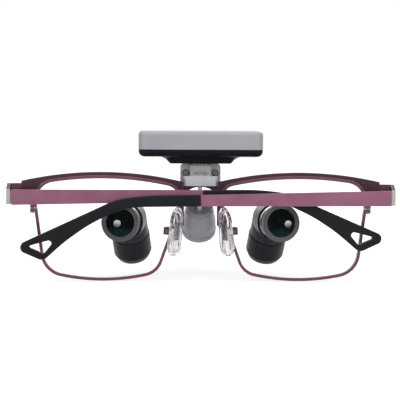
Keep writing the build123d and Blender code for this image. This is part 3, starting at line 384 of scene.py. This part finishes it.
# Temples: flat strips that taper from the hinge to the tip, brushed along their length before they were
# coated, so the plum has a lengthwise grain. Their plum is painted lighter than the front's, a lit copy of
# the same coat: painted light.
temple_plum_painted_light = plum_coat("temple_plum_painted_light", dark=tint(140, 86, 110), light=tint(152, 100, 122),
                        worn_and_highlight=tint(190, 146, 164), metallic=0.3, roughness=0.44, stretch=(0.05, 1.0, 1.0),
                        rub_and_highlight=0.35)
finish_nodes(temple_plum_painted_light, "temple_left", "temple_right")


# Temple tips: black moulded sleeves pushed on the temples' cores, each with a loop near its end for a
# strap. The plastic is slightly soft, with a fine stipple from the mould.
def moulded(name, roughness, gloss, dark, light, patches, cells, detail, rough, depth, pale=None,
            width=0.0, share=0.0):
    """Moulded plastic: a slow change of tone, a fine stipple from the mould, and edges painted paler if
    given, partly wear and partly a painted highlight.
    """
    material, tree, shader, coords = new_finish(name, 0.0, roughness, gloss)
    stipple = grain(tree, coords, cells, detail=detail)
    slow = grain(tree, coords, patches)
    body = shade(tree, spread(tree, slow, 0.0, 1.0), dark, light)
    if pale:
        body = pale_edges(tree, body, pale, width, share)
    tree.links.new(body, shader.inputs["Base Color"])
    tree.links.new(spread(tree, stipple, *rough), shader.inputs["Roughness"])
    relief(tree, shader, stipple, depth)
    return material


# The tips' paler edges are a painted highlight as well as wear.
tip_black = moulded("tip_black", roughness=0.42, gloss=0.16, dark=tint(17, 18, 21),
                    light=tint(25, 26, 30), patches=90.0, cells=3800.0, detail=4.0, rough=(0.36, 0.5),
                    depth=0.000012, pale=tint(78, 80, 84), width=0.0003, share=0.5)
finish_nodes(tip_black, "temple_tip_left", "temple_tip_right")


# Nose pad arms: stamped metal, soldered behind each rim and bent round to a cup that holds the pad.
# They are coated with the front, and the core plates and screws are plain steel.
finish_nodes(front_plum_painted_shade, "pad_arm_left", "pad_arm_right")
core_polished = grained("core_polished_steel", metallic=0.9, roughness=0.22, dark=tint(186, 178, 184),
                        light=tint(232, 230, 232), cells=2600.0, stretch=(1.0, 0.3, 1.0),
                        rough=(0.16, 0.3))
finish_nodes(core_polished, "pad_core_left", "pad_core_right")
pad_screw_metal = grained("pad_screw_dark_steel", metallic=1.0, roughness=0.3, dark=tint(70, 56, 58),
                          light=tint(112, 96, 96), cells=5200.0, rough=(0.24, 0.4))
finish_nodes(pad_screw_metal, "pad_screws")


# Nose pads: clear silicone moulded round the core plate. Each is an oval with a rolled edge, bellied on
# the nose's side and dished on the core's side, and its surface is a little wavy.
pad_centre = Vector((0.0095, -0.0069, -0.0013))
pad_turn = radians(30.0)
pad_splay = radians(4.0)
pad_length = 0.0182
pad_width = 0.0088
pad_side_thickness = 0.0016
pad_end_share = 0.49
pad_end_segments = 12
pad_roll = 0.00062
pad_roll_segments = 4
pad_top_taper = 0.26
# from the rim to the middle: how far in each step goes, and how far it rises
pad_belly_steps = ((0.0009, 0.00022), (0.0011, 0.00014), (0.0011, 0.00006))
pad_dish_steps = ((0.0008, 0.00016), (0.0004, -0.00034), (0.0009, -0.00008))

silicone, tree, shader, coords = new_finish("silicone_clear", metallic=0.0, roughness=0.04)
shader.inputs["IOR"].default_value = 1.41
shader.inputs["Transmission Weight"].default_value = 1.0
ripple = grain(tree, coords, cells=620.0, stretch=(1.0, 1.0, 0.4), detail=1.5)
streaks = grain(tree, coords, cells=420.0, stretch=(1.0, 1.0, 0.35), detail=2.0)
streaked = spread(tree, streaks, low=0.0, high=1.0, start=0.48, end=0.66)
tree.links.new(shade(tree, streaked, tint(240, 240, 242), tint(186, 172, 180)),
               shader.inputs["Base Color"])
tree.links.new(spread(tree, ripple, low=0.02, high=0.1), shader.inputs["Roughness"])
relief(tree, shader, ripple, depth=0.00022)

pad_outward = Vector((cos(pad_turn), sin(pad_turn), 0.0))
pad_along = Vector((sin(pad_turn), -cos(pad_turn), 0.0))
pad_up = Vector((0.0, 0.0, 1.0)) * cos(pad_splay) - pad_outward * sin(pad_splay)
pad_normal = pad_up.cross(pad_along)
pad_place = Matrix.Translation(pad_centre) @ Matrix((pad_along, -pad_up, pad_normal)).transposed().to_4x4()
flip_sides = Matrix.Diagonal((-1.0, 1.0, 1.0, 1.0))


def stand(form, name, material, place, body):
    """Makes a piece of a mesh, smooth, with its place in its vertices, and sets it on its body."""
    bmesh.ops.transform(form, matrix=place, verts=form.verts)
    bmesh.ops.recalc_face_normals(form, faces=form.faces)
    for face in form.faces:
        face.smooth = True
    mesh = bpy.data.meshes.new(name)
    form.to_mesh(mesh)
    form.free()
    mesh.materials.append(material)
    piece = bpy.data.objects.new(name, mesh)
    bpy.context.scene.collection.objects.link(piece)
    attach(piece, body)
    return piece


def pad_form():
    """The pad's moulding: a flat oval with a rolled edge, stepped out on one side and in on the other."""
    flat_enough = 0.9
    form = bmesh.new()
    bmesh.ops.create_cube(form, size=1.0)
    bmesh.ops.scale(form, vec=(pad_width, pad_length, pad_side_thickness), verts=form.verts)
    corners = [e for e in form.edges if abs(e.verts[0].co.z - e.verts[1].co.z) > pad_side_thickness / 2]
    bmesh.ops.bevel(form, geom=corners, offset=pad_width * pad_end_share, segments=pad_end_segments,
                    profile=0.5, affect="EDGES", material=-1)
    flats = [f for f in form.faces if abs(f.normal.z) > flat_enough]
    rims = list({e for f in flats for e in f.edges})
    bmesh.ops.bevel(form, geom=rims, offset=pad_roll, segments=pad_roll_segments, profile=0.5,
                    affect="EDGES", material=-1)
    for side, steps in ((-1.0, pad_belly_steps), (1.0, pad_dish_steps)):
        facing = [f for f in form.faces if f.normal.z * side > flat_enough]
        middle = max(facing, key=lambda f: f.calc_area())
        for inset, lift in steps:
            bmesh.ops.inset_region(form, faces=[middle], thickness=inset, use_even_offset=True)
            bmesh.ops.translate(form, vec=(0.0, 0.0, lift * side), verts=middle.verts)
    for point in form.verts:
        rise = max(0.0, -point.co.y / pad_length * 2)
        point.co.x = (point.co.x + pad_width / 2) * (1 - pad_top_taper * rise) - pad_width / 2
    return form


for side, place in (("right", pad_place), ("left", flip_sides @ pad_place)):
    pad = stand(pad_form(), "nose_pad_moulding_" + side, silicone, place, side + "_pad")
    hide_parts("nose_pad_" + side)


# Telescopes, outside: turned aluminium, anodised nearly black. The eyepiece ring and the tube are
# screwed together, and the elbow and the objective barrel carry on down and forwards.
blast_metallic = 0.15
blast_gloss = 0.2
blast_cells = 4600.0
blast_detail = 4.0
blast_patches = 150.0
blast_flecks = 0.08
blast_edge = 0.00015
blast_edge_share = 0.6
blast_smoother = 0.05
blast_rougher = 0.08
blast_relief = 0.000004


def anodised(name, dark, light, edge, roughness, cells=blast_cells):
    """Bead-blasted and anodised metal: a fine even grain, a slow change of tone and edges painted lighter,
    partly wear and partly a painted highlight.
    """
    material, tree, shader, coords = new_finish(name, blast_metallic, roughness, blast_gloss)
    fine = grain(tree, coords, cells, detail=blast_detail)
    slow = grain(tree, coords, blast_patches)
    body = shade(tree, spread(tree, slow, 0.0, 1.0), dark, light)
    flecked = shade(tree, spread(tree, fine, 0.0, blast_flecks), body, edge)
    tree.links.new(pale_edges(tree, flecked, edge, blast_edge, blast_edge_share),
                   shader.inputs["Base Color"])
    tree.links.new(spread(tree, fine, roughness - blast_smoother, roughness + blast_rougher),
                   shader.inputs["Roughness"])
    relief(tree, shader, fine, blast_relief)
    return material


# The edge colours below are painted highlights as well as wear, on the rings, tubes and barrels.
ring_grey = anodised("eyepiece_ring_grey", dark=tint(76, 73, 78), light=tint(90, 87, 93),
                     edge=tint(196, 194, 200), roughness=0.3)
tube_black = anodised("telescope_black", dark=tint(22, 23, 30), light=tint(32, 33, 42),
                      edge=tint(168, 170, 182), roughness=0.26)
barrel_black = anodised("barrel_black", dark=tint(12, 12, 17), light=tint(20, 20, 27),
                        edge=tint(98, 98, 108), roughness=0.36)
finish_nodes(ring_grey, "eyepiece_ring_left", "eyepiece_ring_right")
finish_nodes(tube_black, "ocular_tube_left", "ocular_tube_right", "prism_housing_left",
             "prism_housing_right")
finish_nodes(barrel_black, "objective_barrel_left", "objective_barrel_right", "objective_ring_left",
             "objective_ring_right", "barrel_set_screws")


# Telescopes, glass: a coated eye lens, the prism block in the elbow and the objective lens. The coats
# take away the reflection seen head-on, and the glass is a little green in its depth.
coated, tree, shader, coords = new_finish("coated_glass", metallic=0.0, roughness=0.02, gloss=0.05)
shader.inputs["Base Color"].default_value = (0.92, 0.96, 0.95, 1.0)
shader.inputs["IOR"].default_value = 1.52
shader.inputs["Transmission Weight"].default_value = 1.0
shader.inputs["Specular Tint"].default_value = (0.0, 0.0, 0.0, 1.0)
dust = grain(tree, coords, cells=900.0, detail=2.0)
tree.links.new(spread(tree, dust, low=0.0, high=0.008), shader.inputs["Roughness"])
finish_nodes(coated, "eyepiece_lens_left", "eyepiece_lens_right", "prism_left", "prism_right",
             "objective_lens_left", "objective_lens_right")


# Field stops: a blackened ring behind each eye lens keeps stray light out, and its lower part is painted
# with a dark teal glow, painted light. The lit exit pupil shows in it as a small pale disc that glows,
# painted light, bright at its top and dim at its bottom, set off towards the temple as it is from the
# wearer's side.
scope_centre = Vector((0.0299, -0.0061, 0.0019))
scope_across = Vector((0.980615, 0.195946, 0.0))
scope_ahead = Vector((-0.195946, 0.980615, 0.0))
stop_depth = 0.0033
stop_radius = 0.00512
stop_thickness = 0.0003
stop_segments = 64
# from the edge to the middle: how far in each step goes, and how far it sinks
stop_steps = ((0.0008, 0.0003), (0.0007, 0.0), (0.0004, 0.0005), (0.0012, 0.0))
glow_low = scope_centre.z - 0.0048
glow_high = scope_centre.z - 0.0014
pupil_radius = 0.0013
pupil_drop = 0.00055
pupil_rise = 0.00025
pupil_segments = 40
pupil_round = pupil_rise * 0.4
pupil_round_segments = 3
pupil_out_right = 0.0033
pupil_out_left = 0.0016
pupil_dim_z = scope_centre.z - pupil_drop - pupil_radius * 0.45
pupil_lit_z = scope_centre.z - pupil_drop + pupil_radius * 0.67

stop_black_painted_glow, tree, shader, coords = new_finish("stop_black_painted_glow", metallic=0.0, roughness=0.55, gloss=0.0)
soot_and_glow_grain = grain(tree, coords, cells=700.0)
below = spread(tree, place_on(tree, coords, "Z"), 1.0, 0.0, glow_low, glow_high)
# The teal glow on the lower part of the stop is painted light, in its colour and in its emission.
glow = shade(tree, spread(tree, soot_and_glow_grain, low=0.2, high=1.0), tint(15, 28, 28), tint(22, 50, 46))
painted_window_glow = shade(tree, below, tint(12, 16, 16), glow)
tree.links.new(painted_window_glow, shader.inputs["Base Color"])
tree.links.new(painted_window_glow, shader.inputs["Emission Color"])
shader.inputs["Emission Strength"].default_value = 0.8
tree.links.new(spread(tree, soot_and_glow_grain, low=0.45, high=0.65), shader.inputs["Roughness"])

pupil_painted_light, tree, shader, coords = new_finish("pupil_painted_light", metallic=0.0, roughness=0.4)
# The pale disc's glow, and its fall from a bright top to a dim bottom, are painted light.
lit = spread(tree, place_on(tree, coords, "Z"), 0.0, 1.0, pupil_dim_z, pupil_lit_z)
haze = grain(tree, coords, cells=1500.0)
painted_pupil_light = shade(tree, lit, tint(84, 84, 84), tint(222, 225, 223))
tree.links.new(painted_pupil_light, shader.inputs["Emission Color"])
shader.inputs["Emission Strength"].default_value = 0.34
tree.links.new(shade(tree, spread(tree, haze, low=0.0, high=0.1), painted_pupil_light, tint(250, 250, 250)),
               shader.inputs["Base Color"])
tree.links.new(spread(tree, haze, low=0.35, high=0.5), shader.inputs["Roughness"])

scope_place = Matrix.Translation(scope_centre) @ Matrix(
    (scope_across, scope_ahead.cross(scope_across), scope_ahead)).transposed().to_4x4()


def stop_form():
    """The field stop: a thin disc, stepped in towards its middle, behind the eye lens."""
    form = bmesh.new()
    bmesh.ops.create_circle(form, cap_ends=True, segments=stop_segments, radius=stop_radius,
                            matrix=Matrix.Translation((0.0, 0.0, stop_depth)))
    face = form.faces[:]
    for inset, sink in stop_steps:
        bmesh.ops.inset_region(form, faces=face, thickness=inset, use_even_offset=True)
        bmesh.ops.translate(form, vec=(0.0, 0.0, sink), verts=face[0].verts)
    bmesh.ops.solidify(form, geom=form.faces[:], thickness=stop_thickness)
    return form


def pupil_form(outward):
    """The exit pupil: a small disc with rounded rims, set outward of the scope's middle and below it."""
    sharp = 1.0
    form = bmesh.new()
    bmesh.ops.create_cone(form, cap_ends=True, segments=pupil_segments, radius1=pupil_radius,
                          radius2=pupil_radius, depth=pupil_rise,
                          matrix=Matrix.Translation((outward, pupil_drop, stop_depth - pupil_rise / 2)))
    rims = [e for e in form.edges if len(e.link_faces) == 2 and e.calc_face_angle() > sharp]
    bmesh.ops.bevel(form, geom=rims, offset=pupil_round, segments=pupil_round_segments, profile=0.5,
                    affect="EDGES", material=-1)
    return form


for side, place, outward in (("right", scope_place, pupil_out_right),
                             ("left", flip_sides @ scope_place, pupil_out_left)):
    stand(stop_form(), "field_stop_" + side, stop_black_painted_glow, place, "front")
    stand(pupil_form(outward), "exit_pupil_" + side, pupil_painted_light, place, "front")


# Mount, outer plate and clamp: a milled plate with two rounded cheeks behind the bridge, and a bevelled
# clamp bar across it. Both are aluminium. The plate is anodised a plain grey, the clamp is left bright.
mount_grey = anodised("mount_grey", dark=tint(158, 157, 161), light=tint(172, 171, 175),
                      edge=tint(206, 206, 210), roughness=0.4)
finish_nodes(mount_grey, "bracket_plate")
# The clamp's pale edges are a painted highlight as well as wear.
bright = grained("clamp_bright", metallic=0.4, roughness=0.34, gloss=0.3, dark=tint(184, 184, 188),
                 light=tint(200, 200, 204), cells=5200.0, stretch=(1.0, 1.0, 0.2), rough=(0.3, 0.4),
                 depth=0.000002, pale=tint(232, 232, 234), width=0.0002, share=0.5)
finish_nodes(bright, "rear_clamp")


# Mount, contact block and screws: the silvery block stands between the cheeks, with a slot in its rear
# face and sprung gold pins in its top. Two bronze-brown screws hold the cheeks.
block_silver = anodised("block_silver", dark=tint(158, 157, 162), light=tint(170, 169, 174),
                        edge=tint(226, 226, 230), roughness=0.36)
finish_nodes(block_silver, "contact_block")
pin_gold = grained("pin_gold", metallic=1.0, roughness=0.25, dark=tint(112, 98, 68),
                   light=tint(148, 132, 96), cells=5200.0, stretch=(1.0, 1.0, 0.3), rough=(0.2, 0.34))
finish_nodes(pin_gold, "contact_pins")
# The screws' pale rims are a painted highlight as well as wear.
bronze = grained("screw_bronze", metallic=0.8, roughness=0.34, dark=tint(66, 54, 50),
                 light=tint(88, 76, 70), cells=5200.0, rough=(0.26, 0.42), depth=0.000006,
                 pale=tint(172, 152, 140), width=0.0003, share=1.0)
finish_nodes(bronze, "bracket_screws")


# Lamp pod: a turned and blasted aluminium tube with a coned cap behind and a bezel in front, hung on a
# stamped carrier by a pin. The LED and its lens shine out of the bezel's mouth.
lamp_grey = anodised("lamp_grey", dark=tint(194, 194, 200), light=tint(206, 206, 212),
                     edge=tint(226, 226, 230), roughness=0.34, cells=4200.0)
cap_grey = anodised("lamp_cap_grey", dark=tint(172, 172, 178), light=tint(184, 184, 190),
                    edge=tint(206, 206, 212), roughness=0.4, cells=4200.0)
finish_nodes(lamp_grey, "lamp_housing", "lamp_bezel")
finish_nodes(cap_grey, "lamp_cap")
finish_nodes(bright, "lamp_carrier")
finish_nodes(steel, "lamp_pin")
finish_nodes(coated, "lamp_lens")
led_yellow = grained("led_phosphor", metallic=0.0, roughness=0.45, dark=tint(214, 190, 92),
                     light=tint(240, 222, 140), cells=3000.0, detail=3.0)
finish_nodes(led_yellow, "lamp_led")


# Battery module: a silver painted cover over a black moulded tray, whose flared foot stands on the
# mount. Inside are the cell in its sleeve, the board with the charging socket, and two magnets.
cover_silver, tree, shader, coords = new_finish("cover_silver", metallic=0.12, roughness=0.5, gloss=0.12)
flake = grain(tree, coords, cells=6500.0, detail=2.0)
slow = grain(tree, coords, cells=70.0)
body = shade(tree, spread(tree, slow, 0.0, 1.0), tint(172, 171, 177), tint(182, 181, 187))
sparkle = shade(tree, spread(tree, flake, low=0.0, high=0.16, start=0.5, end=0.8), body,
                tint(220, 220, 224))
# The cover's paler edges are a painted highlight as well as wear.
tree.links.new(pale_edges(tree, sparkle, tint(196, 196, 200), width=0.0002, share=0.18),
               shader.inputs["Base Color"])
tree.links.new(spread(tree, flake, low=0.44, high=0.56), shader.inputs["Roughness"])
relief(tree, shader, flake, depth=0.000004)
finish_nodes(cover_silver, "module_cover")

tray_black = moulded("tray_black", roughness=0.38, gloss=0.1, dark=tint(16, 15, 18),
                     light=tint(24, 23, 27), patches=80.0, cells=3200.0, detail=3.0, rough=(0.32, 0.46),
                     depth=0.00001)
finish_nodes(tray_black, "module_tray")

board_top = 0.02872
board_front = 0.02352
shell_blend = 0.00002
board_green, tree, shader, coords = new_finish("board_green_and_socket_steel", metallic=0.0, roughness=0.35)
tracks = grain(tree, coords, cells=1400.0, stretch=(1.0, 0.2, 1.0), detail=1.0)
over_board = spread(tree, place_on(tree, coords, "Z"), 0.0, 1.0, board_top, board_top + shell_blend)
past_board = spread(tree, place_on(tree, coords, "Y"), 0.0, 1.0, board_front, board_front + shell_blend)
socket_shell = tree.nodes.new("ShaderNodeMath")
socket_shell.operation = "MAXIMUM"
tree.links.new(over_board, socket_shell.inputs[0])
tree.links.new(past_board, socket_shell.inputs[1])
tracked = spread(tree, tracks, low=0.0, high=1.0, start=0.48, end=0.52)
green = shade(tree, tracked, tint(24, 70, 44), tint(44, 104, 66))
pressed = shade(tree, spread(tree, tracks, 0.0, 1.0), tint(150, 150, 154), tint(178, 178, 182))
tree.links.new(shade(tree, socket_shell.outputs[0], green, pressed), shader.inputs["Base Color"])
tree.links.new(socket_shell.outputs[0], shader.inputs["Metallic"])
relief(tree, shader, tracks, depth=0.00001)
finish_nodes(board_green, "module_board")
sleeve = grained("cell_sleeve", metallic=0.0, roughness=0.3, dark=tint(60, 78, 118),
                 light=tint(84, 102, 140), cells=900.0, depth=0.00003)
finish_nodes(sleeve, "module_cell")
nickel = grained("magnet_nickel", metallic=1.0, roughness=0.18, dark=tint(176, 174, 168),
                 light=tint(206, 204, 198), cells=2500.0, detail=3.0, rough=(0.14, 0.26))
finish_nodes(nickel, "module_magnets")
